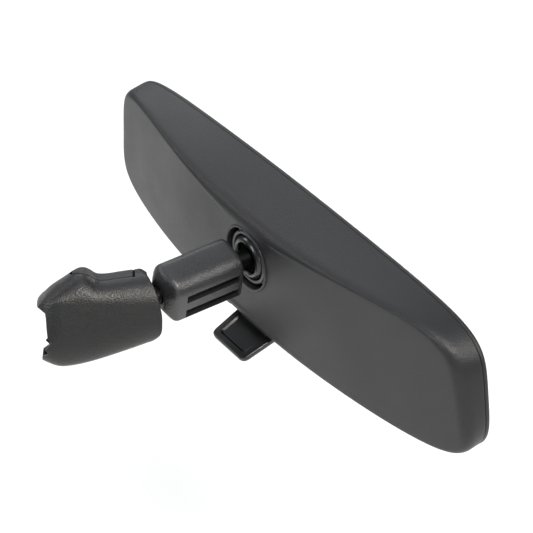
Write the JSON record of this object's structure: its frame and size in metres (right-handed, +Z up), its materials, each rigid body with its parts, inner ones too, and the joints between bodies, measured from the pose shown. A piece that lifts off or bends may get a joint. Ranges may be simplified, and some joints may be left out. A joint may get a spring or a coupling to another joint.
{
  "type": "interior rearview mirror",
  "caption": "Interior rearview mirror with a day and night tilting head, a lever tab, a double-ball arm and a windshield mount.",
  "frame": {"origin": "the seat in the mount that rests on the face of the windshield button", "axes": "+X along the mirror head, +Y from the mirror towards the windshield, +Z up, with the joints posed as at rest"},
  "size_m": [0.2416, 0.1144, 0.0666],
  "materials": {
    "housing": "fine moulded grain",
    "bezel": "fine moulded grain",
    "gloss": "polished black",
    "strip": "satin dark grey",
    "nylon": "smooth nylon",
    "zinc": "die-cast, satin",
    "steel": "plain",
    "mirror": "silvered prism",
    "foam": "foam"
  },
  "bodies": {
    "mount": {"mount_bracket": "zinc", "button_clip": "steel", "set_screw": "steel", "cover_half_left": "housing", "cover_half_right": "housing", "cover_top_strip": "strip", "mount_cap": "gloss", "mount_spring": "steel"},
    "mount_swivel": {"mount_seat_outer": "nylon"},
    "mount_rocker": {"mount_seat_inner": "nylon"},
    "arm": {"arm_core": "zinc", "arm_cover": "housing", "arm_screw_front": "steel", "arm_screw_rear": "steel"},
    "head_swivel": {"head_seat_inner": "nylon"},
    "head_rocker": {"head_seat_outer": "nylon"},
    "plate": {"socket_plate": "nylon", "socket_cap": "gloss", "retainer_ring": "strip", "socket_spring": "steel"},
    "head": {"rear_housing": "housing", "front_bezel": "bezel", "mirror_glass": "mirror", "glass_pad": "foam", "pivot_bracket": "zinc", "hinge_pin": "steel", "pivot_screw_left": "steel", "pivot_screw_right": "steel", "lever_bracket": "zinc", "lever_pin": "steel", "lever_screw_left": "steel", "lever_screw_right": "steel", "detent_spring": "steel"},
    "lever": {"toggle_lever": "gloss"}
  },
  "joints": [
    {"name": "mount_yaw", "type": "hinge", "parent": "mount", "child": "mount_swivel", "pos_m": [-0.01189, -0.02867, 0.00741], "axis": [0, 0, 1], "range_deg": [-38, 0]},
    {"name": "mount_pitch", "type": "hinge", "parent": "mount_swivel", "child": "mount_rocker", "pos_m": [-0.01189, -0.02867, 0.00741], "axis": [1, 0, 0], "range_deg": [-10, 4]},
    {"name": "mount_twist", "type": "hinge", "parent": "mount_rocker", "child": "arm", "pos_m": [-0.01189, -0.02867, 0.00741], "axis": [0, 1, 0], "range_deg": [-30, 35]},
    {"name": "head_yaw", "type": "hinge", "parent": "arm", "child": "head_swivel", "pos_m": [-0.01189, -0.08547, 0.00741], "axis": [0, 0, 1], "range_deg": [-14, 14]},
    {"name": "head_pitch", "type": "hinge", "parent": "head_swivel", "child": "head_rocker", "pos_m": [-0.01189, -0.08547, 0.00741], "axis": [1, 0, 0], "range_deg": [-12, 12]},
    {"name": "head_roll", "type": "hinge", "parent": "head_rocker", "child": "plate", "pos_m": [-0.01189, -0.08547, 0.00741], "axis": [0, 1, 0], "range_deg": [-20, 20]},
    {"name": "head_tilt", "type": "hinge", "parent": "plate", "child": "head", "pos_m": [-0.01189, -0.08507, 0.02401], "axis": [-1, 0, 0], "range_deg": [0, 4.5]},
    {"name": "lever_flip", "type": "hinge", "parent": "head", "child": "lever", "pos_m": [-0.01189, -0.09117, -0.02219], "axis": [-1, 0, 0], "range_deg": [0, 38]}
  ],
  "couplings": [
    {"joint": "lever_flip", "follows": "head_tilt", "ratio": 8.44}
  ]
}
